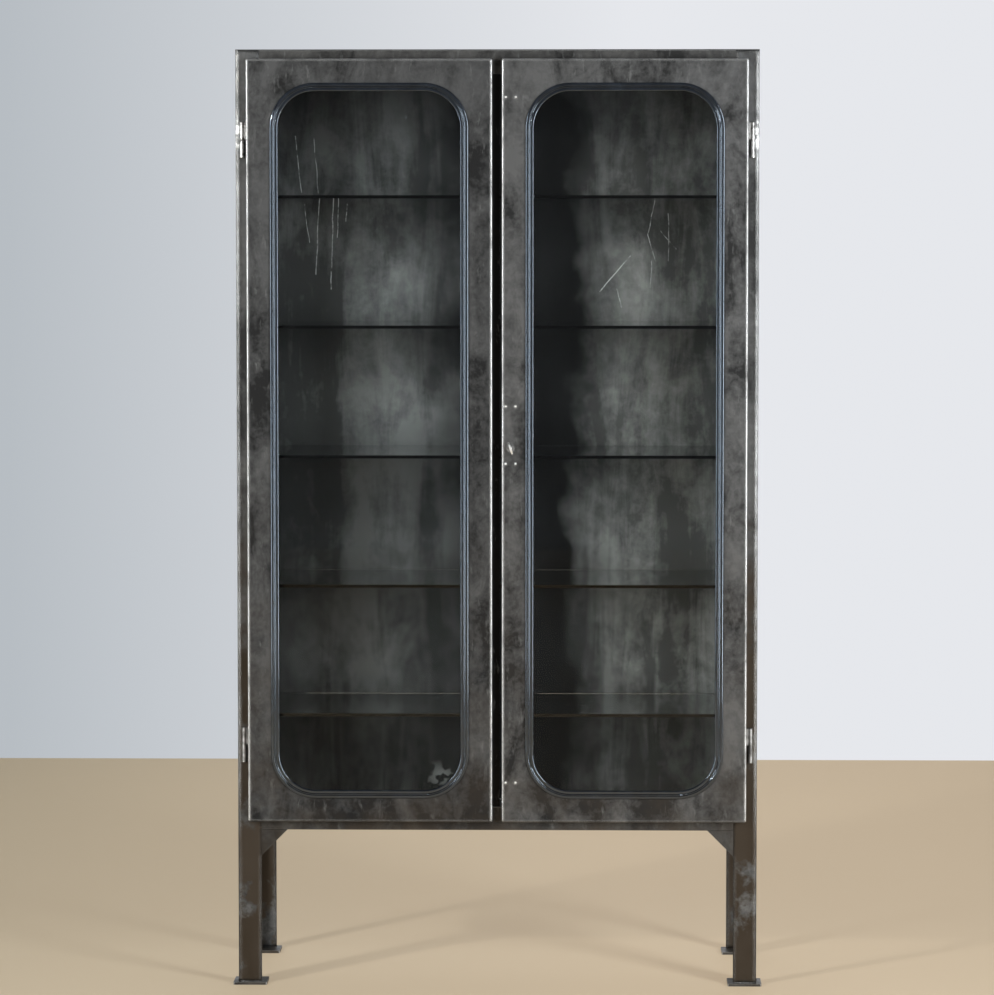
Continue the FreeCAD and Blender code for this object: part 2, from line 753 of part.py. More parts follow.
def lower_rod():
    """Rack on the right of the pinion, an arm below the cover, and the rod down to the bottom rail."""
    arm_high = cover_bottom - ARM_BELOW
    arm_low = arm_high - ARM_HIGH
    teeth = range(-RACK_NEAR_TEETH, RACK_FAR_TEETH + 1)
    rack = rack_bar(1, teeth, arm_low, KEY_HEIGHT + rack_plain_end)
    arm = block(key_x - ROD_RADIUS, key_x + rack_outer, rack_front, rack_back, arm_low, arm_high)
    return rack.fuse([arm, rod(arm_high, opening_floor + ROD_CLEAR)]).removeSplitter()


def rod_guide(z):
    """Hat-shaped strap over a rod, with a foot to each side on the door."""
    low = z - GUIDE_HIGH / 2
    foot = RIVET_SPACING / 2 + GUIDE_FOOT
    leg = ROD_RADIUS + GUIDE_PLAY
    leg_outer = leg + GUIDE_SHEET
    foot_back = door_skin + GUIDE_SHEET
    bridge = rod_y + leg
    bridge_back = bridge + GUIDE_SHEET
    inner_bend = GUIDE_BEND - GUIDE_SHEET
    half_marks = [
        (foot, door_skin, 0),
        (foot, foot_back, 0),
        (leg_outer, foot_back, inner_bend),
        (leg_outer, bridge_back, GUIDE_BEND),
    ]
    inner_marks = [(leg, bridge, inner_bend), (leg, door_skin, GUIDE_BEND)]
    marks = half_marks + [(-x, y, r) for x, y, r in reversed(half_marks)]
    marks += [(-x, y, r) for x, y, r in reversed(inner_marks)] + inner_marks
    corners = [point(key_x + x, y, low) for x, y, r in marks]
    strap = prism(corners, [r for x, y, r in marks], UPWARD * GUIDE_HIGH)
    return strap.cut(rivet_holes(guide_rivets))


parts = {}

# Frame
post = front_right_post()
foot = front_right_foot()
gusset = front_right_gusset()
parts["front_right_post"] = post
parts["front_left_post"] = other_side(post)
parts["rear_right_post"] = other_end(post)
parts["rear_left_post"] = other_end(other_side(post))
parts["front_right_foot"] = foot
parts["front_left_foot"] = other_side(foot)
parts["rear_right_foot"] = other_end(foot)
parts["rear_left_foot"] = other_end(other_side(foot))
for level, z, up in (("bottom", LEG_HEIGHT, UPWARD), ("top", frame_top, -UPWARD)):
    parts["front_" + level + "_rail"] = front_rail(z, up)
    parts["rear_" + level + "_rail"] = other_end(front_rail(z, up))
    parts["right_" + level + "_rail"] = right_rail(z, up)
    parts["left_" + level + "_rail"] = other_side(right_rail(z, up))
parts["front_gussets"] = Part.makeCompound([gusset, other_side(gusset)])
parts["rear_gussets"] = Part.makeCompound([other_end(gusset), other_end(other_side(gusset))])

# Sheets and shelves
parts["right_side_sheet"] = right_sheet()
parts["left_side_sheet"] = other_side(right_sheet())
parts["back_sheet"] = back_sheet()
parts["floor_sheet"] = floor_sheet()
parts["top_sheet"] = top_sheet()
ledges = [right_ledge(i) for i in range(SHELF_COUNT)]
parts["right_shelf_ledges"] = Part.makeCompound(ledges)
parts["left_shelf_ledges"] = Part.makeCompound([other_side(s) for s in ledges])
for i in range(SHELF_COUNT):
    parts["glass_shelf_" + str(i + 1)] = glass_shelf(i)

# Doors
pan = door_pan()
lock_bores = rivet_holes(lock_rivets + guide_rivets) + [hub_hole()]
parts["right_door_pan"] = pan.cut(lock_bores)
parts["left_door_pan"] = other_side(pan)
for name, shape in (("pane", pane()), ("gasket", gasket()), ("gasket_filler", filler())):
    parts["right_" + name] = shape
    parts["left_" + name] = other_side(shape)
parts["meeting_strip"] = other_side(meeting_strip())

# Hinges
pins = []
washers = []
for level, split in zip(("lower", "upper"), hinge_splits):
    parts["right_" + level + "_frame_knuckle"] = frame_knuckle(split)
    parts["left_" + level + "_frame_knuckle"] = other_side(frame_knuckle(split))
    parts["right_" + level + "_door_knuckle"] = door_knuckle(split)
    parts["left_" + level + "_door_knuckle"] = other_side(door_knuckle(split))
    pins += [hinge_pin(split), other_side(hinge_pin(split))]
    washers += [hinge_washer(split), other_side(hinge_washer(split))]
parts["hinge_pins"] = Part.makeCompound(pins)
parts["hinge_washers"] = Part.makeCompound(washers)

# Lock
parts["lock_plate"] = lock_plate()
parts["lock_cover"] = lock_cover()
parts["lock_pinion"] = lock_pinion()
parts["key"] = key()
parts["upper_rod"] = upper_rod()
parts["lower_rod"] = lower_rod()
for level, z in zip(("lower", "upper"), guide_heights):
    parts[level + "_rod_guide"] = rod_guide(z)
parts["lock_rivets"] = Part.makeCompound([rivet(x, z, LOCK_PLATE) for x, z in lock_rivets])
parts["guide_rivets"] = Part.makeCompound([rivet(x, z, GUIDE_SHEET) for x, z in guide_rivets])

os.makedirs("parts", exist_ok=True)
for name, shape in parts.items():
    placed = shape.translated(centring)
    placed.exportStep("parts/" + name + ".step")
    print(name, len(placed.Solids), "solids", round(placed.Volume), "mm3", "" if placed.isValid() else "INVALID")
print(len(parts), "nodes, moved by", round(centring.y, 3), "mm along Y")
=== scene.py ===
# %% [markdown]
# # A glazed steel clinic cabinet
# The imported model gives every rigid piece of the cabinet in metres: posts, rails, doors, panes, shelves and lock.
# Blender could rebuild them, but then two models would have to be kept alike. So the solids stay as they are, and
# this lesson adds finishes, weld beads, light and a camera.

# %% Load the frame
import json
import math

import bmesh
import bpy
from mathutils import Matrix, Vector


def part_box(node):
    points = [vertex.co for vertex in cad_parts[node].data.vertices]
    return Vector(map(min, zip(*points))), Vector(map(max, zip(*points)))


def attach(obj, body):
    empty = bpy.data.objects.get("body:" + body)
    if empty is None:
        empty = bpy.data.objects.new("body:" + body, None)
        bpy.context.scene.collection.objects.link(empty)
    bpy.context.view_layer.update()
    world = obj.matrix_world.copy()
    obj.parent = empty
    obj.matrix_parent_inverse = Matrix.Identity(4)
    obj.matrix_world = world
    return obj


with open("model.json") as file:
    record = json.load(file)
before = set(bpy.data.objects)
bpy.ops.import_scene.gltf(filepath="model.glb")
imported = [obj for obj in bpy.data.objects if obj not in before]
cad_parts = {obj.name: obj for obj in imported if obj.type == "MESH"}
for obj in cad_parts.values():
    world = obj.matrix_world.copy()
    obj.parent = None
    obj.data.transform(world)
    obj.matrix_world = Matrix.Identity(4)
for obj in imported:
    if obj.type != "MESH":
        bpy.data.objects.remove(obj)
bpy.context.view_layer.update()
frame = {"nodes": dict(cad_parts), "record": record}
pieces = frame["nodes"]

# %% [markdown]
# ## Shader helpers
# A finish is a small network of nodes. Making each node by hand takes four or five lines, so one helper makes a
# node, sets its options and fills or links its inputs, and the others name the few kinds that are used all the time.

# %% Shader helpers
def add(tree, kind, inputs=None, **options):
    """One shader node: options are its settings, inputs are values or sockets to link."""
    node = tree.nodes.new(kind)
    for name, value in options.items():
        setattr(node, name, value)
    for socket, value in (inputs or {}).items():
        if isinstance(value, bpy.types.NodeSocket):
            tree.links.new(value, node.inputs[socket])
        else:
            node.inputs[socket].default_value = value
    return node


def object_place(tree):
    """Where a point lies on its solid, in metres."""
    return add(tree, "ShaderNodeTexCoord").outputs["Object"]


def split(tree, vector):
    """The x, y and z of a vector."""
    return add(tree, "ShaderNodeSeparateXYZ", {0: vector}).outputs


def math_node(tree, operation, first, second=0.0):
    return add(tree, "ShaderNodeMath", {0: first, 1: second}, operation=operation).outputs[0]


def product(tree, first, *others):
    """All the given values multiplied together."""
    for value in others:
        first = math_node(tree, "MULTIPLY", first, value)
    return first


def vector_node(tree, operation, first, second=(0.0, 0.0, 0.0)):
    return add(tree, "ShaderNodeVectorMath", {0: first, 1: second}, operation=operation).outputs[0]


def vector_measure(tree, operation, first, second):
    """One number from two vectors, such as their distance."""
    return add(tree, "ShaderNodeVectorMath", {0: first, 1: second}, operation=operation).outputs["Value"]


def noise(tree, where, size, detail, rough=0.55, bend=0.0):
    values = {"Vector": where, "Scale": size, "Detail": detail, "Roughness": rough, "Distortion": bend}
    return add(tree, "ShaderNodeTexNoise", values).outputs[0]


def fit(tree, value, low, high, to_low=0.0, to_high=1.0):
    """Carries the span from low to high over to another span, and stops at its ends."""
    values = {"Value": value, "From Min": low, "From Max": high, "To Min": to_low, "To Max": to_high}
    return add(tree, "ShaderNodeMapRange", values).outputs[0]


MIX_AMOUNT, MIX_FIRST, MIX_SECOND, MIX_RESULT = 0, 6, 7, 2


def blend_colour(tree, amount, first, second):
    values = {MIX_AMOUNT: amount, MIX_FIRST: first, MIX_SECOND: second}
    return add(tree, "ShaderNodeMix", values, data_type="RGBA").outputs[MIX_RESULT]


print("shader helpers ready")

# %% [markdown]
# ## Node groups
# Stains and worn edges are shared by many finishes and should be built only once. A node group does that. One
# helper opens a group with named sockets, and a second one sets a group down in a finish.

# %% Node groups
NUMBER = "NodeSocketFloat"
COLOUR = "NodeSocketColor"


def open_group(name, inputs, outputs):
    """A node group with its sockets, and the two nodes that stand for them inside."""
    tree = bpy.data.node_groups.new(name, "ShaderNodeTree")
    for label, kind, value in inputs:
        tree.interface.new_socket(label, in_out="INPUT", socket_type=kind).default_value = value
    for label, kind in outputs:
        tree.interface.new_socket(label, in_out="OUTPUT", socket_type=kind)
    return tree, tree.nodes.new("NodeGroupInput").outputs, tree.nodes.new("NodeGroupOutput").inputs


def place_group(tree, group, inputs):
    node = tree.nodes.new("ShaderNodeGroup")
    node.node_tree = group
    for socket, value in inputs.items():
        node.inputs[socket].default_value = value
    return node.outputs


print("group helpers ready")

# %% [markdown]
# ## Cloudy steel
# The cabinet was stripped to bare sheet, and the mill scale left on it shows as grey clouds, small flecks, pale
# scuffs and upright wipe marks, browner near the floor. A painted image would do it for one size only. Noises on
# object coordinates, three of them stretched upright, hold at any size and carry round corners without a seam.

# %% Cloudy steel group
CLOUD_STRETCH = (1.0, 1.0, 0.6)
WIPE_STRETCH = (15.0, 15.0, 2.2)
SCUFF_STRETCH = (70.0, 70.0, 22.0)
SCUFF_GREY = (0.2, 0.2, 0.195, 1.0)
RUST_BROWN = (0.042, 0.031, 0.021, 1.0)
RUST_STARTS, RUST_FULL = 1.0, 0.2
NOISE_MIDDLE = 0.5

cloudy, given, out = open_group(
    "Cloudy steel",
    [
        ("Dark", COLOUR, (0.02, 0.02, 0.02, 1.0)),
        ("Pale", COLOUR, (0.1, 0.1, 0.1, 1.0)),
        ("Blotch", NUMBER, 8.0),
        ("Streak", NUMBER, 0.2),
        ("Rust", NUMBER, 0.4),
    ],
    [("Color", COLOUR), ("Patch", NUMBER), ("Grain", NUMBER)],
)
where = object_place(cloudy)
clouds = noise(cloudy, vector_node(cloudy, "MULTIPLY", where, CLOUD_STRETCH), given["Blotch"], 4.0, 0.6, 0.6)
flecks = noise(cloudy, where, math_node(cloudy, "MULTIPLY", given["Blotch"], 5.0), 4.0, 0.72, 0.3)
clouded = math_node(cloudy, "ADD", math_node(cloudy, "MULTIPLY", clouds, 0.7),
                    math_node(cloudy, "MULTIPLY", flecks, 0.3))
wiping = add(cloudy, "ShaderNodeMapping", {"Vector": where, "Scale": WIPE_STRETCH}).outputs[0]
wipes = math_node(cloudy, "SUBTRACT", noise(cloudy, wiping, 1.0, 8.0, 0.62, 0.9), NOISE_MIDDLE)
wiped = math_node(cloudy, "MULTIPLY", wipes, given["Streak"])
swells = math_node(cloudy, "SUBTRACT", noise(cloudy, where, 4.0, 3.0), NOISE_MIDDLE)
broad = math_node(cloudy, "MULTIPLY", swells, 0.45)
patch = fit(cloudy, math_node(cloudy, "ADD", math_node(cloudy, "ADD", clouded, wiped), broad), 0.39, 0.64)
mottled = blend_colour(cloudy, patch, given["Dark"], given["Pale"])
scuffing = add(cloudy, "ShaderNodeMapping", {"Vector": where, "Scale": SCUFF_STRETCH}).outputs[0]
scuffs = fit(cloudy, noise(cloudy, scuffing, 1.0, 4.0, 0.65, 0.3), 0.6, 0.76, 0.0, 0.5)
grey = blend_colour(cloudy, scuffs, mottled, SCUFF_GREY)
low_down = fit(cloudy, split(cloudy, where)[2], RUST_STARTS, RUST_FULL)
stain = fit(cloudy, noise(cloudy, where, 11.0, 6.0, 0.65), 0.36, 0.66)
rusty = product(cloudy, low_down, stain, given["Rust"])
cloudy.links.new(blend_colour(cloudy, rusty, grey, RUST_BROWN), out["Color"])
cloudy.links.new(patch, out["Patch"])
cloudy.links.new(noise(cloudy, where, 380.0, 3.0), out["Grain"])
print(cloudy.name, "has", len(cloudy.nodes), "nodes")

# %% [markdown]
# ## Worn edges
# Hands, cloths and polishing have brought the folds and corners back to bright metal. Painting by hand is out, and
# pointiness needs a fine welded mesh. The Bevel node finds edges by tracing, and its normal, turned into object
# space, leans away from all three axes only on a fold or corner. That lean is the mask, broken up by noise, and it
# is held back on level edges, most of all on undersides, which hands and cloths reach less. The three leans go
# out as well, so that a finish can leave out the ends of a rail or the seams of a gusset, which are dressed flush.

# %% Worn edges group
EDGE_SAMPLES = 6

worn, given, out = open_group(
    "Worn edges",
    [("Reach", NUMBER, 0.0015), ("Amount", NUMBER, 1.0)],
    [("Mask", NUMBER), ("Across", NUMBER), ("Deep", NUMBER), ("Up", NUMBER)],
)
rounded = add(worn, "ShaderNodeBevel", {"Radius": given["Reach"]}, samples=EDGE_SAMPLES).outputs[0]
turned_in = add(worn, "ShaderNodeVectorTransform", {0: rounded}, vector_type="NORMAL", convert_from="WORLD",
                convert_to="OBJECT").outputs[0]
sides = split(worn, vector_node(worn, "ABSOLUTE", turned_in))
squarest = math_node(worn, "MAXIMUM", math_node(worn, "MAXIMUM", sides[0], sides[1]), sides[2])
lean = fit(worn, squarest, 0.985, 0.8)
off_level = fit(worn, sides[2], 0.12, 0.5, 1.0, 0.45)
off_underside = fit(worn, split(worn, turned_in)[2], -0.12, -0.5, 1.0, 0.15)
within_reach = math_node(worn, "MULTIPLY", off_level, off_underside)
wear_and_painted_shade = fit(worn, noise(worn, object_place(worn), 16.0, 6.0, 0.7), 0.26, 0.5)
worn.links.new(product(worn, lean, within_reach, wear_and_painted_shade, given["Amount"]), out["Mask"])
for label, side in zip(("Across", "Deep", "Up"), sides):
    worn.links.new(side, out[label])
print(worn.name, "has", len(worn.nodes), "nodes")

# %% [markdown]
# ## Steel finishes
# Frame, doors and sheets are the same raw steel in different states: the frame is darkest, the doors are cloudier,
# the sheets inside are streaked, and the strip behind the doors' gap is near black, as painted shade in the gap. One
# function builds them all from the two groups, so they stay related, and only colours, blotch size and wear change
# from one to the next.

# %% Steel finishes
def begin(name):
    """An empty material with its main shader joined to the output."""
    material = bpy.data.materials.new(name)
    material.use_nodes = True
    tree = material.node_tree
    tree.nodes.clear()
    shader = add(tree, "ShaderNodeBsdfPrincipled")
    add(tree, "ShaderNodeOutputMaterial", {"Surface": shader.outputs[0]})
    return material, tree, shader


def steel(name, dark, pale, blotch, streak, rust, wear, bright, reach=0.002, metallic=0.75, free=None):
    """Raw steel; free, if given, says which of its edges are open to wear."""
    material, tree, shader = begin(name)
    base = place_group(tree, cloudy, {"Dark": dark, "Pale": pale, "Blotch": blotch, "Streak": streak, "Rust": rust})
    edges = place_group(tree, worn, {"Reach": reach, "Amount": wear})
    edge = math_node(tree, "MULTIPLY", edges["Mask"], free(tree, edges)) if free else edges["Mask"]
    tree.links.new(blend_colour(tree, edge, base["Color"], bright), shader.inputs["Base Color"])
    satin = fit(tree, base["Patch"], 0.0, 1.0, 0.5, 0.36)
    polish = math_node(tree, "MULTIPLY", edge, 0.1)
    tree.links.new(math_node(tree, "SUBTRACT", satin, polish), shader.inputs["Roughness"])
    relief = add(tree, "ShaderNodeBump", {"Strength": 0.12, "Distance": 0.0004, "Height": base["Grain"]})
    tree.links.new(relief.outputs[0], shader.inputs["Normal"])
    shader.inputs["Metallic"].default_value = metallic
    return material, tree, shader


# dark and pale colour, blotch size, streak, rust
FRAME = ((0.014, 0.0135, 0.0128, 1), (0.1, 0.097, 0.092, 1), 15.0, 0.15, 0.9)
BRIGHT = (0.85, 0.84, 0.82, 1)
frame_steel = steel("frame_raw_steel", *FRAME, 0.5, BRIGHT)[0]
print("first steel finish:", frame_steel.name)

# %% [markdown]
# ## Posts
# The posts are rolled angle, and their corners look rounder than a fold. A wider Bevel node under the grain rounds
# their shading, and the wear lies along it as a pale line. Outside it, at the very corner, the colour is near black
# as painted shade, where the round turns away from the light. The inner edges are closed by sheets and gussets, so
# they are worn only below these. Beside the upper hinges the front posts were ground bright for welding, in a patch
# that is tall rather than round.

# %% Posts
POST = ((0.026, 0.0258, 0.0252, 1), (0.135, 0.134, 0.132, 1), 15.0, 0.15, 4.0)
POST_WEAR = 1.6
POST_REACH = 0.011
ROLLED_CORNER = 0.0105
# SCALE is near black: painted shade on the outermost strip of each post's corner.
SCALE = (0.004, 0.004, 0.004, 1)
OUTER_EDGE = (0.47, 0.48)
BELOW_GUSSETS = (0.255, 0.245)
LEG_INNER_WEAR = 1.6
LEG_HEIGHTS = (0.28, 0.4)
HINGE_ASIDE = 0.497
HINGE_HEIGHT = 1.638
GROUND_SQUEEZE = 0.4


def inner_seam_flush(tree, edge):
    """The inner edge is free only below the gussets, the very corner is kept from wear for its painted shade, and
    legs are worn less.
    """
    x, _, z = split(tree, object_place(tree))
    outer = fit(tree, math_node(tree, "ABSOLUTE", x), *OUTER_EDGE)
    free = math_node(tree, "MAXIMUM", outer, fit(tree, z, *BELOW_GUSSETS, 0.0, LEG_INNER_WEAR))
    squarest = math_node(tree, "MAXIMUM", edge["Across"], edge["Deep"])
    return product(tree, free, fit(tree, squarest, 0.86, 0.93, 0.03, 1.0), fit(tree, z, *LEG_HEIGHTS, 0.2, 1.0))


post_steel, tree, shader = steel("post_raw_steel", *POST, POST_WEAR, BRIGHT, POST_REACH, free=inner_seam_flush)
plain = shader.inputs["Base Color"].links[0].from_socket
where = object_place(tree)
post_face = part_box("front_left_post")[0].y
folded = vector_node(tree, "MULTIPLY", vector_node(tree, "ABSOLUTE", where), (1.0, 1.0, GROUND_SQUEEZE))
hinge_spot = (HINGE_ASIDE, -post_face, GROUND_SQUEEZE * HINGE_HEIGHT)
by_hinge = fit(tree, vector_measure(tree, "DISTANCE", folded, hinge_spot), 0.012, 0.006)
in_front = math_node(tree, "LESS_THAN", split(tree, where)[1], 0.0)
ground = product(tree, by_hinge, in_front, fit(tree, noise(tree, where, 110.0, 3.0), 0.45, 0.53))
corner = place_group(tree, worn, {"Reach": POST_REACH, "Amount": 0.0})
# Painted shade: the outermost strip of the corner turns near black.
corner_shade_mask = fit(tree, math_node(tree, "MAXIMUM", corner["Across"], corner["Deep"]), 0.9, 0.86)
darkened = blend_colour(tree, corner_shade_mask, blend_colour(tree, ground, plain, BRIGHT), SCALE)
tree.links.new(darkened, shader.inputs["Base Color"])
rolled = add(tree, "ShaderNodeBevel", {"Radius": ROLLED_CORNER}, samples=EDGE_SAMPLES).outputs[0]
tree.links.new(rolled, shader.inputs["Normal"].links[0].from_node.inputs["Normal"])
print("post finish:", post_steel.name)

# %% [markdown]
# ## Rails, gussets, doors and sheets
# Rails end against posts and gussets are welded along two sides, so those edges are dressed flush and don't shine.
# The leans from the worn edges tell them apart: a rail's end leans along the rail, and only the slanted side of a
# gusset leans both across and up.

# %% Rails, gussets, doors and sheets
RAIL_WEAR = 0.8
RAIL_REACH = 0.003
DOOR_REACH = 0.007


def rail_ends_flush(tree, edge):
    return fit(tree, edge["Across"], 0.1, 0.3, 1.0, 0.0)


def side_rail_ends_flush(tree, edge):
    return fit(tree, edge["Deep"], 0.1, 0.3, 1.0, 0.0)


def slanted_side_only(tree, edge):
    return fit(tree, math_node(tree, "MINIMUM", edge["Across"], edge["Up"]), 0.1, 0.25, 0.0, 0.6)


rail_steel = steel("rail_raw_steel", *FRAME, RAIL_WEAR, BRIGHT, RAIL_REACH, free=rail_ends_flush)[0]
side_rail_steel = steel("side_rail_raw_steel", *FRAME, RAIL_WEAR, BRIGHT, RAIL_REACH, free=side_rail_ends_flush)[0]
gusset_steel = steel("gusset_raw_steel", *FRAME, 0.7, BRIGHT, 0.002, free=slanted_side_only)[0]
door_steel = steel("door_raw_steel", (0.013, 0.0129, 0.0126, 1), (0.122, 0.1205, 0.119, 1), 15.0, 0.2, 0.6,
                   1.0, (0.74, 0.735, 0.72, 1), DOOR_REACH)[0]
# Painted shade: the left door gets darker colours than the right, standing in for less light on it.
painted_shade_door_steel = steel("painted_shade_door_raw_steel", (0.009, 0.009, 0.0089, 1), (0.092, 0.0915, 0.091, 1), 14.0, 0.2,
                          0.6, 1.0, (0.78, 0.775, 0.76, 1), DOOR_REACH)[0]
sheet_steel = steel("sheet_raw_steel", (0.03, 0.03, 0.03, 1), (0.12, 0.12, 0.118, 1), 9.0, 0.5, 0.3,
                    0.4, (0.4, 0.4, 0.39, 1))[0]
# Painted shade: the strip behind the doors' gap is near black, for the shade in the gap.
gap_shade_steel = steel("strip_painted_shade_steel", (0.0015, 0.0015, 0.0016, 1), (0.006, 0.006, 0.006, 1), 24.0, 0.2, 0.1,
                    0.0, (0.02, 0.02, 0.02, 1))[0]
print("more steel finishes:", rail_steel.name, gusset_steel.name, door_steel.name, sheet_steel.name, gap_shade_steel.name)

# %% [markdown]
# ## Scratches
# The back sheet carries a handful of long scratches, bright where a sharp corner ran down it. Random noise never
# gives such lone marks, so each scratch is a short line: the distance from a point to that line is worked out in
# nodes, and a wobble keeps it from looking ruled.

# %% Scratches
# start (x, z), end (x, z) and width of each, in metres
SCRATCHES = [
    ((-0.374, 1.638), (-0.366, 1.528), 0.0012),
    ((-0.413, 1.642), (-0.399, 1.53), 0.0011),
    ((-0.363, 1.517), (-0.372, 1.366), 0.0013),
    ((-0.335, 1.521), (-0.341, 1.336), 0.0014),
    ((-0.325, 1.52), (-0.328, 1.44), 0.0011),
    ((-0.394, 1.506), (-0.384, 1.43), 0.0009),
    ((-0.309, 1.507), (-0.311, 1.473), 0.0012),
    ((0.309, 1.521), (0.293, 1.445), 0.0013),
    ((0.293, 1.445), (0.309, 1.393), 0.0013),
    ((0.301, 1.393), (0.299, 1.34), 0.0012),
    ((0.259, 1.403), (0.198, 1.332), 0.0016),
    ((0.335, 1.487), (0.335, 1.393), 0.0012),
    ((0.232, 1.34), (0.243, 1.3), 0.0013),
    ((0.319, 1.453), (0.349, 1.417), 0.0012),
]
WOBBLE = (0.009, 0.0, 0.003)

marks, given, out = open_group("Scratch marks", [("Strength", NUMBER, 1.0)], [("Mask", NUMBER)])
where = object_place(marks)
flat = vector_node(marks, "MULTIPLY", where, (1.0, 0.0, 1.0))
drift = add(marks, "ShaderNodeTexNoise", {"Vector": where, "Scale": 16.0, "Detail": 4.0}).outputs[1]
centred = vector_node(marks, "SUBTRACT", drift, (NOISE_MIDDLE, NOISE_MIDDLE, NOISE_MIDDLE))
wobbly = vector_node(marks, "ADD", flat, vector_node(marks, "MULTIPLY", centred, WOBBLE))
deepest = None
for (x0, z0), (x1, z1), width in SCRATCHES:
    start = Vector((x0, 0.0, z0))
    run = Vector((x1, 0.0, z1)) - start
    away = vector_node(marks, "SUBTRACT", wobbly, start)
    share = fit(marks, vector_measure(marks, "DOT_PRODUCT", away, run / run.length_squared), 0.0, 1.0)
    foot = add(marks, "ShaderNodeVectorMath", {0: run, "Scale": share}, operation="SCALE").outputs[0]
    line = fit(marks, vector_measure(marks, "DISTANCE", away, foot), width, width * 0.25)
    deepest = line if deepest is None else math_node(marks, "MAXIMUM", deepest, line)
skips = fit(marks, noise(marks, where, 60.0, 4.0, 0.7), 0.38, 0.56)
marks.links.new(product(marks, deepest, skips, given["Strength"]), out["Mask"])
print(len(SCRATCHES), "scratches in the group", marks.name)

# %% [markdown]
# ## The back sheet
# The back is the largest surface in view. It has the streaks of the other sheets, and its colour is palest in the
# middle of each window's field, most of all just above each shelf. Down the middle, at the rims, at top and bottom,
# under the shelves and low on the left it falls off to near black, and the left window is darker overall: all of
# this is painted shade. A pale spill has dried low on the left. All of these are on the inner face, and the outer
# one is plain.

# %% The back sheet
# The near black of the painted shade on the back sheet.
PAINTED_SHADE_BLACK = (0.005, 0.005, 0.0054, 1)
SCRATCH_GREY = (0.6, 0.61, 0.61, 1)
SPILL_GREY = (0.4, 0.4, 0.38, 1)
OUTER_GREY = (0.02, 0.02, 0.02, 1)
# Middle of the band of painted shade behind the stiles.
SHADE_MIDDLE = 0.035
SPILL_ASIDE, SPILL_HEIGHT = -0.122, 0.354
SPILL_SQUEEZE = 1.3

back_steel, tree, shader = steel("back_raw_steel", (0.115, 0.1155, 0.114, 1), (0.4, 0.401, 0.396, 1), 8.0, 0.8, 0.2,
                                 0.3, (0.4, 0.4, 0.39, 1), metallic=0.6)
plain = shader.inputs["Base Color"].links[0].from_socket
where = object_place(tree)
x, y, z = split(tree, where)
uneven = fit(tree, noise(tree, where, 5.0, 4.0), 0.3, 0.7, -0.04, 0.04)
aside = math_node(tree, "ABSOLUTE", math_node(tree, "SUBTRACT", x, SHADE_MIDDLE))
from_middle = math_node(tree, "ADD", aside, uneven)
height = math_node(tree, "ADD", z, uneven)
shelf_at = (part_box("glass_shelf_1")[1].z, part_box("glass_shelf_2")[1].z)
above_first = math_node(tree, "SUBTRACT", z, shelf_at[0])
in_bay = math_node(tree, "FRACT", math_node(tree, "DIVIDE", above_first, shelf_at[1] - shelf_at[0]))
# Painted shade: each factor below darkens the colour towards near black, down the middle, at the rims, at top and
# bottom, under each shelf, low on the left and over the left window.
left_low = math_node(tree, "MULTIPLY", fit(tree, x, 0.05, -0.05), fit(tree, height, 1.15, 0.9))
middle_painted_shade = fit(tree, from_middle, 0.1, 0.27)
rims_painted_shade = fit(tree, from_middle, 0.39, 0.49, 1.0, 0.5)
top_painted_shade = fit(tree, height, 1.46, 1.72, 1.0, 0.5)
bottom_painted_shade = fit(tree, height, 0.4, 0.62, 0.75, 1.0)
under_shelf_painted_shade = fit(tree, math_node(tree, "ADD", in_bay, uneven), 0.2, 0.95, 1.0, 0.4)
left_painted_shade = fit(tree, x, -0.1, 0.1, 0.64, 1.1)
left_low_painted_shade = math_node(tree, "SUBTRACT", 1.0, math_node(tree, "MULTIPLY", left_low, 0.5))
wear_and_painted_shade = product(tree, middle_painted_shade, rims_painted_shade, top_painted_shade, bottom_painted_shade, under_shelf_painted_shade, left_painted_shade, left_low_painted_shade)
painted_shade_colour = blend_colour(tree, wear_and_painted_shade, PAINTED_SHADE_BLACK, plain)
scored = blend_colour(tree, place_group(tree, marks, {"Strength": 1.0})["Mask"], painted_shade_colour, SCRATCH_GREY)
squeezed = vector_node(tree, "MULTIPLY", where, (1.0, 0.0, SPILL_SQUEEZE))
from_spill = vector_measure(tree, "DISTANCE", squeezed, (SPILL_ASIDE, 0.0, SPILL_SQUEEZE * SPILL_HEIGHT))
blobs = fit(tree, noise(tree, where, 42.0, 2.0, 0.5), 0.5, 0.56, 0.0, 0.35)
spilt = math_node(tree, "MULTIPLY", fit(tree, from_spill, 0.045, 0.01), blobs)
marked = blend_colour(tree, spilt, scored, SPILL_GREY)
near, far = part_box("back_sheet")
inside = math_node(tree, "LESS_THAN", y, (near.y + far.y) / 2)
outer = blend_colour(tree, 0.7, plain, OUTER_GREY)
tree.links.new(blend_colour(tree, inside, outer, marked), shader.inputs["Base Color"])
shader.inputs["Specular IOR Level"].default_value = 0.15
print("back sheet finish:", back_steel.name)

# %% [markdown]
# ## Hinge, lock and key steel
# Hinges, rods and key are turned or drawn stock: cleaner than the sheet, with fine grain and a few dark stains. A
# plain chrome would look new, so a noise mixes stain into bright metal. The upper hinges are rubbed brighter than
# the lower ones, which follows from the height alone. The welds are of the same kind, bright at the hinges and dark
# with scale at the feet and gussets.

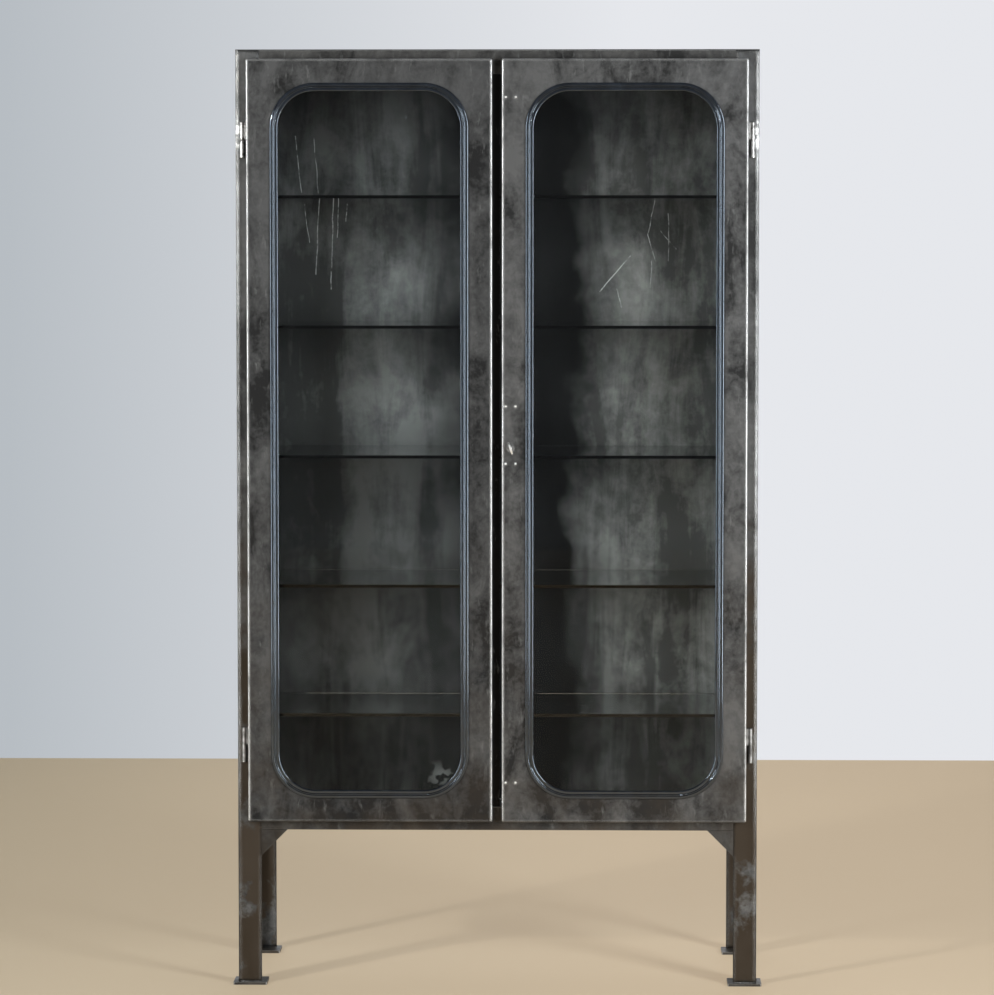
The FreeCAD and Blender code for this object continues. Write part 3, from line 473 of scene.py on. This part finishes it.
# %% Hinge, lock and key steel
def drawn_steel(name, dull, bright, rough_low, rough_high, low_share):
    """Bright stock with stains; low_share is how much of the brightness is left near the floor."""
    material, tree, shader = begin(name)
    where = object_place(tree)
    stains = fit(tree, noise(tree, where, 90.0, 6.0, 0.7, 0.4), 0.38, 0.62)
    wear_and_painted_shade = fit(tree, split(tree, where)[2], 0.55, 1.5, low_share, 1.0)
    shine = math_node(tree, "MULTIPLY", stains, wear_and_painted_shade)
    tree.links.new(blend_colour(tree, shine, dull, bright), shader.inputs["Base Color"])
    tree.links.new(fit(tree, shine, 0.0, 1.0, rough_high, rough_low), shader.inputs["Roughness"])
    grain = noise(tree, where, 700.0, 2.0)
    relief = add(tree, "ShaderNodeBump", {"Strength": 0.1, "Distance": 0.0002, "Height": grain})
    tree.links.new(relief.outputs[0], shader.inputs["Normal"])
    shader.inputs["Metallic"].default_value = 0.9
    return material


hinge_steel = drawn_steel("hinge_rubbed_steel", (0.1, 0.095, 0.09, 1), (0.72, 0.71, 0.69, 1), 0.26, 0.5, 0.4)
lock_steel = drawn_steel("lock_satin_steel", (0.09, 0.085, 0.08, 1), (0.36, 0.35, 0.34, 1), 0.3, 0.5, 0.9)
key_steel = drawn_steel("key_polished_steel", (0.75, 0.74, 0.72, 1), (0.95, 0.94, 0.92, 1), 0.3, 0.42, 1.0)
weld_metal = drawn_steel("weld_metal", (0.12, 0.115, 0.11, 1), (0.62, 0.61, 0.59, 1), 0.28, 0.5, 0.9)
scaled_weld = drawn_steel("scaled_weld_metal", (0.03, 0.027, 0.024, 1), (0.11, 0.105, 0.098, 1), 0.4, 0.55, 0.9)
print("drawn steels:", hinge_steel.name, lock_steel.name, key_steel.name, weld_metal.name, scaled_weld.name)

# %% [markdown]
# ## Rubber
# The gasket is glossy black extruded rubber. A clear coat over a dark base gives it the sharp, bluish lines of the
# strip boxes, and a noise makes it slightly duller and paler in places, so that the lines aren't perfect.

# %% Rubber
RUBBER_BLACK = (0.004, 0.0042, 0.005, 1)
RUBBER_CHALKY = (0.012, 0.013, 0.016, 1)
BLUISH_SHEEN = (0.72, 0.87, 1.0, 1.0)
BLUISH_COAT = (0.8, 0.9, 1.0, 1.0)

gasket_rubber, tree, shader = begin("gasket_black_rubber")
where = object_place(tree)
chalk = fit(tree, noise(tree, where, 34.0, 6.0, 0.65, 0.3), 0.4, 0.7)
tree.links.new(blend_colour(tree, chalk, RUBBER_BLACK, RUBBER_CHALKY), shader.inputs["Base Color"])
tree.links.new(fit(tree, chalk, 0.0, 1.0, 0.12, 0.2), shader.inputs["Roughness"])
grain = noise(tree, where, 240.0, 3.0)
relief = add(tree, "ShaderNodeBump", {"Strength": 0.03, "Distance": 0.0003, "Height": grain})
tree.links.new(relief.outputs[0], shader.inputs["Normal"])
shader.inputs["Specular Tint"].default_value = BLUISH_SHEEN
shader.inputs["Specular IOR Level"].default_value = 0.6
shader.inputs["Coat Weight"].default_value = 1.0
shader.inputs["Coat IOR"].default_value = 1.55
shader.inputs["Coat Roughness"].default_value = 0.07
shader.inputs["Coat Tint"].default_value = BLUISH_COAT
print("rubber:", gasket_rubber.name)

# %% [markdown]
# ## Glass
# The panes are plain float glass with faint smears. Clear glass would block the lamps in a path tracer, so for
# shadow rays alone it turns transparent, and the cabinet's inside is lit as it would be in a bright room. Light that
# slants along a shelf is mostly turned away at its face, so there the glass lets less by, and each shelf shades what
# is below it.

# %% Glass
GLASS_IOR = 1.5
LET_BY_STRAIGHT = (0.93, 0.95, 0.94, 1.0)
LET_BY_SLANTING = (0.2, 0.21, 0.205, 1.0)
SHELF_TINT = (0.88, 0.94, 0.92, 1.0)
# Near black on the shelves' edges: a painted reflection of the dark inside that glass edges mirror.
SHELF_EDGE_PAINTED_DARK = (0.002, 0.0024, 0.0024, 1.0)


def slightly_darker(colour):
    return tuple(0.97 * c for c in colour[:3]) + (1.0,)


def join_to_output(tree, mixed):
    result = next(n for n in tree.nodes if n.type == "OUTPUT_MATERIAL")
    tree.links.new(mixed.outputs[0], result.inputs["Surface"])


def clear_glass(name, tint, painted_dark_edge, smear_low, smear_high, gloss):
    """Clear sheet glass; the edge colour, if given, is a near black on its ground edges, a painted reflection of the
    dark inside.
    """
    material, tree, shader = begin(name)
    smears = fit(tree, noise(tree, object_place(tree), 6.0, 7.0, 0.7, 1.2), 0.46, 0.72)
    tree.links.new(fit(tree, smears, 0.0, 1.0, smear_low, smear_high), shader.inputs["Roughness"])
    shade = blend_colour(tree, smears, tint, slightly_darker(tint))
    if painted_dark_edge:
        facing = add(tree, "ShaderNodeNewGeometry").outputs["True Normal"]
        inward = add(tree, "ShaderNodeVectorTransform", {0: facing}, vector_type="NORMAL", convert_from="WORLD",
                     convert_to="OBJECT").outputs[0]
        level = split(tree, vector_node(tree, "ABSOLUTE", inward))[2]
        shade = blend_colour(tree, fit(tree, level, 0.5, 0.2), shade, painted_dark_edge)
    tree.links.new(shade, shader.inputs["Base Color"])
    shader.inputs["Transmission Weight"].default_value = 1.0
    shader.inputs["IOR"].default_value = GLASS_IOR
    shader.inputs["Specular Tint"].default_value = (gloss, gloss, gloss, 1.0)
    slanting = fit(tree, add(tree, "ShaderNodeLayerWeight").outputs["Facing"], 0.5, 0.9)
    let_by = blend_colour(tree, slanting, LET_BY_STRAIGHT, LET_BY_SLANTING)
    passing = add(tree, "ShaderNodeBsdfTransparent", {"Color": let_by})
    shadow = add(tree, "ShaderNodeLightPath").outputs["Is Shadow Ray"]
    both = add(tree, "ShaderNodeMixShader", {0: shadow, 1: shader.outputs[0], 2: passing.outputs[0]})
    join_to_output(tree, both)
    return material


window_glass = clear_glass("window_float_glass", (0.98, 0.99, 0.985, 1.0), None, 0.0, 0.02, 0.1)
shelf_glass = clear_glass("shelf_float_glass", SHELF_TINT, SHELF_EDGE_PAINTED_DARK, 0.0, 0.03, 1.0)
print("glass:", window_glass.name, shelf_glass.name)

# %% [markdown]
# ## Dressing the solids
# Each solid already carries the name of a slot in its record, such as frame steel or gasket rubber. Choosing a
# finish node by node would be long and easy to get wrong, so the slot picks the finish. A few solids have one of
# their own: the left door, darker than the right as painted shade, the scratched back sheet with its painted shade,
# the strip in the doors' gap, near black as painted shade, and the posts, rails and gussets, whose seams are flush.

# %% Dress the solids
FINISHES = {
    "frame_steel": frame_steel,
    "door_steel": door_steel,
    "sheet_steel": sheet_steel,
    "hinge_steel": hinge_steel,
    "lock_steel": lock_steel,
    "key_steel": key_steel,
    "gasket_rubber": gasket_rubber,
    "window_glass": window_glass,
    "shelf_glass": shelf_glass,
}
for subpart in frame["record"]["subparts"]:
    solid = pieces[subpart["node"]]
    solid.data.materials.clear()
    solid.data.materials.append(FINISHES[subpart["material_slot"]])
OWN_FINISHES = {"back_sheet": back_steel, "meeting_strip": gap_shade_steel, "front_gussets": gusset_steel,
                "rear_gussets": gusset_steel, "left_door_pan": painted_shade_door_steel}
for end in ("front", "rear"):
    for level in ("bottom", "top"):
        OWN_FINISHES[end + "_" + level + "_rail"] = rail_steel
for hand in ("left", "right"):
    for level in ("bottom", "top"):
        OWN_FINISHES[hand + "_" + level + "_rail"] = side_rail_steel
    for end in ("front", "rear"):
        OWN_FINISHES[end + "_" + hand + "_post"] = post_steel
for node, finish in OWN_FINISHES.items():
    pieces[node].data.materials[0] = finish

# %% [markdown]
# ## Weld beads
# Hinges, feet and gussets are welded on, and the beads catch the light as small rippled rolls. A bead could be a
# curve with a round section, but then it would have no ripples. Here a small disc is extruded step by step along
# the seam, and each new ring is made larger or smaller in turn, which is how overlapping pools of weld look.

# %% Weld beads
BEAD_SIDES = 10
BEAD_PITCH = 0.0022
END_SIZE, CREST_SIZE, VALLEY_SIZE = 0.6, 1.0, 0.82


def bead(mesh, start, end, radius):
    """Adds one rippled bead to the mesh, from start to end."""
    run = end - start
    steps = max(4, round(run.length / BEAD_PITCH))
    facing = Matrix.Translation(start) @ run.to_track_quat("Z", "Y").to_matrix().to_4x4()
    bmesh.ops.create_circle(mesh, cap_ends=True, segments=BEAD_SIDES, radius=radius * END_SIZE, matrix=facing)
    mesh.faces.ensure_lookup_table()
    cap = mesh.faces[-1]
    size = END_SIZE
    for i in range(steps):
        grown = bmesh.ops.extrude_face_region(mesh, geom=[cap])["geom"]
        ring = [v for v in grown if isinstance(v, bmesh.types.BMVert)]
        cap = next(f for f in grown if isinstance(f, bmesh.types.BMFace))
        bmesh.ops.translate(mesh, vec=run / steps, verts=ring)
        wanted = END_SIZE if i == steps - 1 else (CREST_SIZE if i % 2 == 0 else VALLEY_SIZE)
        centre = start + run * ((i + 1) / steps)
        bmesh.ops.scale(mesh, vec=(wanted / size,) * 3, space=Matrix.Translation(-centre), verts=ring)
        size = wanted


def beads_piece(name, seams, body, finish):
    """One object from a list of (start, end, radius) seams, riding on a body."""
    mesh = bmesh.new()
    for start, end, radius in seams:
        bead(mesh, Vector(start), Vector(end), radius)
    bmesh.ops.recalc_face_normals(mesh, faces=mesh.faces)
    for face in mesh.faces:
        face.smooth = True
    data = bpy.data.meshes.new(name)
    mesh.to_mesh(data)
    mesh.free()
    piece = bpy.data.objects.new(name, data)
    bpy.context.scene.collection.objects.link(piece)
    data.materials.append(finish)
    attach(piece, body)
    print(name, "with", len(seams), "beads and", len(data.polygons), "faces")


print("bead of", BEAD_SIDES, "sides with a ripple every", BEAD_PITCH, "m")

# %% [markdown]
# ## Welds at the hinges
# Each knuckle has a leaf that is welded along both of its faces, to the post or to the edge of the door. The beads
# on a door ride with it. They are placed from the boxes of the solids, and stop a little short of the leaf's ends.

# %% Welds at the hinges
HINGE_BEAD = 0.0014
LEAF_HALF = 0.003
SHORT_OF_END = 0.002
frame_seams = []
for hand, side in (("left", -1), ("right", 1)):
    door_seams = []
    door_edge = abs(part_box(hand + "_door_pan")[0 if side < 0 else 1].x) * side
    for level in ("lower", "upper"):
        low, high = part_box(hand + "_" + level + "_frame_knuckle")
        bottom, top = low.z + SHORT_OF_END, high.z - SHORT_OF_END
        middle = (low.x + high.x) / 2
        for x in (middle - LEAF_HALF, middle + LEAF_HALF):
            frame_seams.append(((x, post_face, bottom), (x, post_face, top), HINGE_BEAD))
        low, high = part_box(hand + "_" + level + "_door_knuckle")
        bottom, top = low.z + SHORT_OF_END, high.z - SHORT_OF_END
        middle = (low.y + high.y) / 2
        for y in (middle - LEAF_HALF, middle + LEAF_HALF):
            door_seams.append(((door_edge, y, bottom), (door_edge, y, top), HINGE_BEAD))
    beads_piece(hand + "_hinge_welds", door_seams, hand + "_door", weld_metal)
beads_piece("post_hinge_welds", frame_seams, "cabinet", weld_metal)

# %% [markdown]
# ## Welds at the feet and gussets
# Each leg stands on a square plate and is welded to it round the outside, and each gusset is welded on its rear
# face, where the bead doesn't show from the front. The same bead does both, placed from the boxes of the solids it
# joins, so it always sits on the seam.

# %% Foot and gusset welds
FOOT_BEAD = 0.0026
GUSSET_BEAD = 0.002
ANGLE_WALL = 0.004
CORNER_GAP = 0.003
CORNER_SHARE = 0.07
TIP_GAP = 0.004
foot_seams = []
gusset_seams = []
for end in ("front", "rear"):
    for hand, side in (("left", -1), ("right", 1)):
        low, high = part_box(end + "_" + hand + "_post")
        outer, inner = (low.x, high.x) if side < 0 else (high.x, low.x)
        near, far = (low.y, high.y) if end == "front" else (high.y, low.y)
        past_corner = near + (far - near) * CORNER_SHARE
        foot_seams.append(((outer - side * CORNER_GAP, near, low.z), (inner, near, low.z), FOOT_BEAD))
        foot_seams.append(((outer, past_corner, low.z), (outer, far, low.z), FOOT_BEAD))
        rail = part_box(end + "_bottom_rail")[0].z
        wall = near + (ANGLE_WALL if end == "front" else -ANGLE_WALL)
        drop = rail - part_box(end + "_gussets")[0].z
        first_x, last_x = inner - side * CORNER_GAP, inner - side * (drop - TIP_GAP)
        first_z, last_z = rail - CORNER_GAP, rail - drop + TIP_GAP
        gusset_seams.append(((inner, wall, first_z), (inner, wall, last_z), GUSSET_BEAD))
        gusset_seams.append(((first_x, wall, rail), (last_x, wall, rail), GUSSET_BEAD))
beads_piece("foot_welds", foot_seams, "cabinet", scaled_weld)
beads_piece("gusset_welds", gusset_seams, "cabinet", scaled_weld)

# %% [markdown]
# ## The join in the gasket
# A gasket like this is cut from a roll, and its two ends meet at the top of the window in a fine butt join. It is
# almost too small to see, but it is the one place where the black line is broken. A thin plate with its edges
# bevelled round, set across the gasket and barely proud of it, gives the raised lip of the two ends.

# %% Gasket join
JOIN_SIZE = Vector((0.0008, 0.0024, 0.0152))
JOIN_PROUD = 0.0002
JOIN_ASIDE = 0.01
JOIN_BELOW_RIM = 0.0084
JOIN_EDGE = 0.0003
low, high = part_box("right_gasket")
place = ((low.x + high.x) / 2 - JOIN_ASIDE, low.y + JOIN_SIZE.y / 2 - JOIN_PROUD, high.z - JOIN_BELOW_RIM)
mesh = bmesh.new()
bmesh.ops.create_cube(mesh, size=1.0)
bmesh.ops.scale(mesh, vec=JOIN_SIZE, verts=mesh.verts)
bmesh.ops.translate(mesh, vec=place, verts=mesh.verts)
bmesh.ops.bevel(mesh, geom=mesh.edges[:], offset=JOIN_EDGE, offset_type="OFFSET", affect="EDGES", segments=3,
                profile=0.5, material=-1)
data = bpy.data.meshes.new("gasket_join")
mesh.to_mesh(data)
mesh.free()
gasket_join = bpy.data.objects.new("gasket_join", data)
bpy.context.scene.collection.objects.link(gasket_join)
data.materials.append(gasket_rubber)
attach(gasket_join, "right_door")
print("gasket join,", len(data.polygons), "faces")

# %% [markdown]
# ## Floor and room
# The cabinet stands on a plain pale floor in a plain room. One white plane behind it would do for the first view,
# but dark steel, rubber and glass take their look from all that they reflect, so there is a wall on each side. A
# wall shows only from inside, so every other view looks in through the nearest one. Where they are seen, straight
# on or in metal and glass, walls show a paint of their own brightness, whatever light falls on them. The floor does
# so in part and keeps the shadows. The front and side walls are dim, so that panes and gaskets mirror little of them.

# %% Floor and room
PLANE_HALF = 12.0
ACROSS, UP = 0, 2


def stage_plane(name, paint, matrix, first, last, axis, low, high, share):
    """A large plane seen only from its front. It shows first to last along an axis, by the share given."""
    mesh = bmesh.new()
    bmesh.ops.create_grid(mesh, x_segments=4, y_segments=4, size=PLANE_HALF, matrix=matrix)
    data = bpy.data.meshes.new(name)
    mesh.to_mesh(data)
    mesh.free()
    plane = bpy.data.objects.new(name, data)
    bpy.context.scene.collection.objects.link(plane)
    material, tree, shader = begin(name + "_paint")
    where = object_place(tree)
    faint = fit(tree, noise(tree, where, 1.2, 4.0), 0.3, 0.7)
    tree.links.new(blend_colour(tree, faint, paint, slightly_darker(paint)), shader.inputs["Base Color"])
    shader.inputs["Roughness"].default_value = 0.7
    along = fit(tree, split(tree, where)[axis], low, high)
    shown = add(tree, "ShaderNodeEmission", {0: blend_colour(tree, along, first, last)})
    path = add(tree, "ShaderNodeLightPath").outputs
    looked_at = math_node(tree, "MAXIMUM", path["Is Camera Ray"],
                          math_node(tree, "MAXIMUM", path["Is Glossy Ray"], path["Is Transmission Ray"]))
    own = math_node(tree, "MULTIPLY", looked_at, share)
    front = add(tree, "ShaderNodeMixShader", {0: own, 1: shader.outputs[0], 2: shown.outputs[0]}).outputs[0]
    behind = add(tree, "ShaderNodeNewGeometry").outputs["Backfacing"]
    clear = add(tree, "ShaderNodeBsdfTransparent")
    both = add(tree, "ShaderNodeMixShader", {0: behind, 1: front, 2: clear.outputs[0]})
    join_to_output(tree, both)
    data.materials.append(material)


def upright(x, y, turn):
    """Stands a level grid up at x, y, with its face turned by so many degrees from facing the front."""
    spin = Matrix.Rotation(math.radians(turn), 4, "Z") @ Matrix.Rotation(math.radians(90.0), 4, "X")
    return Matrix.Translation((x, y, 0.0)) @ spin


BACK_PLACE = 3.25
SIDE_PLACE = 7.0
FRONT_PLACE = -11.0
FLOOR_MIDDLE = Matrix.Translation((0.0, 1.0, 0.0))
FLOOR_PAINT = (0.56, 0.465, 0.33, 1.0)
FLOOR_LEFT = (0.54, 0.44, 0.3, 1.0)
FLOOR_RIGHT = (0.8, 0.61, 0.41, 1.0)
FLOOR_SHARE = 0.42
BACK_PAINT = (0.5, 0.54, 0.59, 1.0)
SIDE_PAINT = (0.5, 0.52, 0.55, 1.0)
FRONT_PAINT = (0.3, 0.31, 0.33, 1.0)
BLUE_GREY = (0.475, 0.51, 0.545, 1.0)
PALE_GREY = (0.79, 0.805, 0.84, 1.0)
DIM_GREY = (0.16, 0.165, 0.175, 1.0)
SHADED_TO, PALE_FROM = -1.4, 0.3
stage_plane("floor", FLOOR_PAINT, FLOOR_MIDDLE, FLOOR_LEFT, FLOOR_RIGHT, ACROSS, SHADED_TO, PALE_FROM, FLOOR_SHARE)
stage_plane("back_wall", BACK_PAINT, upright(0.0, BACK_PLACE, 0.0), BLUE_GREY, PALE_GREY, ACROSS, SHADED_TO,
            PALE_FROM, 1.0)
stage_plane("left_wall", SIDE_PAINT, upright(-SIDE_PLACE, 0.0, 90.0), DIM_GREY, DIM_GREY, UP, 0.0, 1.2, 1.0)
stage_plane("right_wall", SIDE_PAINT, upright(SIDE_PLACE, 0.0, -90.0), DIM_GREY, DIM_GREY, UP, 0.0, 1.2, 1.0)
stage_plane("front_wall", FRONT_PAINT, upright(0.0, FRONT_PLACE, 180.0), DIM_GREY, DIM_GREY, ACROSS, -1.0, 1.0, 1.0)
print("floor and four walls, the back one", BACK_PLACE, "m behind the middle")

# %% [markdown]
# ## Light
# Two tall strip boxes stand left and right in front, which is what puts a bright line down both sides of the
# gaskets and throws the legs' shadows towards the middle. A small lamp on the left adds a harder shadow, as of the
# key on its door, and a weak box behind keeps the back readable. A low even world light fills the rest. The lamps
# show in metal and rubber, but not to the camera or through glass. The level is plain: a colour renders about as it
# is written, so the finishes hold under other light too.

# %% Light
def soft_box(name, place, target, width, height, watts, colour):
    light = bpy.data.lights.new(name, "AREA")
    light.shape = "RECTANGLE"
    light.size = width
    light.size_y = height
    light.energy = watts
    light.color = colour
    lamp = bpy.data.objects.new(name, light)
    lamp.location = place
    lamp.rotation_euler = (Vector(target) - Vector(place)).to_track_quat("-Z", "Y").to_euler()
    lamp.visible_camera = False
    lamp.visible_transmission = False
    bpy.context.scene.collection.objects.link(lamp)


SKY_TINT = (0.9, 0.94, 1.0, 1.0)
FILL_LEVEL = 0.1
# place, target, width, height, watts, colour
soft_box("left_strip", (-3.3, -4.0, 1.4), (0.0, 0.0, 1.4), 0.9, 2.6, 165.0, (0.88, 0.95, 1.0))
soft_box("left_lamp", (-3.4, -4.0, 2.4), (0.0, 0.0, 1.1), 0.2, 0.2, 110.0, (1.0, 0.95, 0.88))
soft_box("right_strip", (2.7, -3.4, 1.5), (0.0, 0.0, 1.4), 0.9, 2.8, 245.0, (0.91, 0.96, 1.0))
soft_box("rear_fill", (0.0, 3.0, 2.3), (0.0, 0.0, 0.9), 2.4, 1.6, 22.0, (1.0, 0.99, 0.97))
world = bpy.data.worlds.new("studio_fill")
world.use_nodes = True
fill = world.node_tree.nodes["Background"]
fill.inputs["Color"].default_value = SKY_TINT
fill.inputs["Strength"].default_value = FILL_LEVEL
bpy.context.scene.world = world
print("two strip boxes, a small lamp, a rear box and a fill")

# %% [markdown]
# ## Camera
# The camera stands a little right of the middle, above half height and far back, with a long lens, so the uprights
# run almost parallel. Its place was found by comparing known corners of the cabinet with where they should fall in
# the picture. It is tilted down slightly rather than shifted, because other views keep a shift.

# %% Camera
LENS = 154.9
SENSOR = 36.0
CAMERA_PLACE = (0.1646, -8.3754, 1.4864)
TILT_DOWN = 3.786
TURN_LEFT = 1.153
eye = bpy.data.cameras.new("studio_camera")
eye.lens = LENS
eye.sensor_width = SENSOR
eye.clip_end = 100.0
camera = bpy.data.objects.new("studio_camera", eye)
camera.location = CAMERA_PLACE
camera.rotation_euler = (math.radians(90.0 - TILT_DOWN), 0.0, math.radians(TURN_LEFT))
bpy.context.scene.collection.objects.link(camera)
bpy.context.scene.camera = camera
bpy.context.scene.view_settings.view_transform = "Standard"
print("camera", tuple(round(c, 3) for c in camera.location), "lens", LENS)
